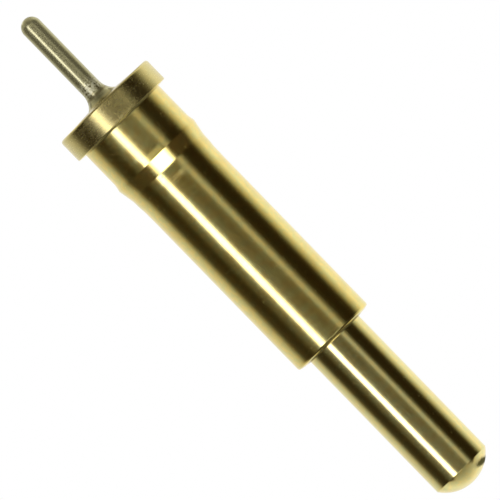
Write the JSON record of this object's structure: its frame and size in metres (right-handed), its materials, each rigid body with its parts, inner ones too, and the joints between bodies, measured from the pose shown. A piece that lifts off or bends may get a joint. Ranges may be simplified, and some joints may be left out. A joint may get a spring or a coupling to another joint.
{
  "type": "pogo pin",
  "caption": "Spring-loaded round contact pin with a flanged press-fit barrel, a thin solder tail and a domed plunger that slides into the barrel.",
  "frame": {"origin": "centre of the flange's board face", "axes": "+Z along the axis from the board face towards the contact tip; the part is round about Z, so X and Y are free"},
  "size_m": [0.002, 0.0018, 0.0103],
  "materials": {
    "barrel": "gold-plated turned brass, bright with fine turning marks",
    "plunger": "gold-plated turned brass, bright with fine turning marks",
    "spring": "bare drawn spring wire"
  },
  "bodies": {
    "barrel": {"barrel": "barrel", "spring": "spring"},
    "plunger": {"plunger": "plunger"}
  },
  "joints": [
    {"name": "plunger_slide", "type": "slide", "parent": "barrel", "child": "plunger", "axis": [0, 0, -1], "range_m": [0, 0.00229], "stiffness_N_per_m": 330, "springref_m": -0.00064, "deforming": ["spring"]}
  ]
}
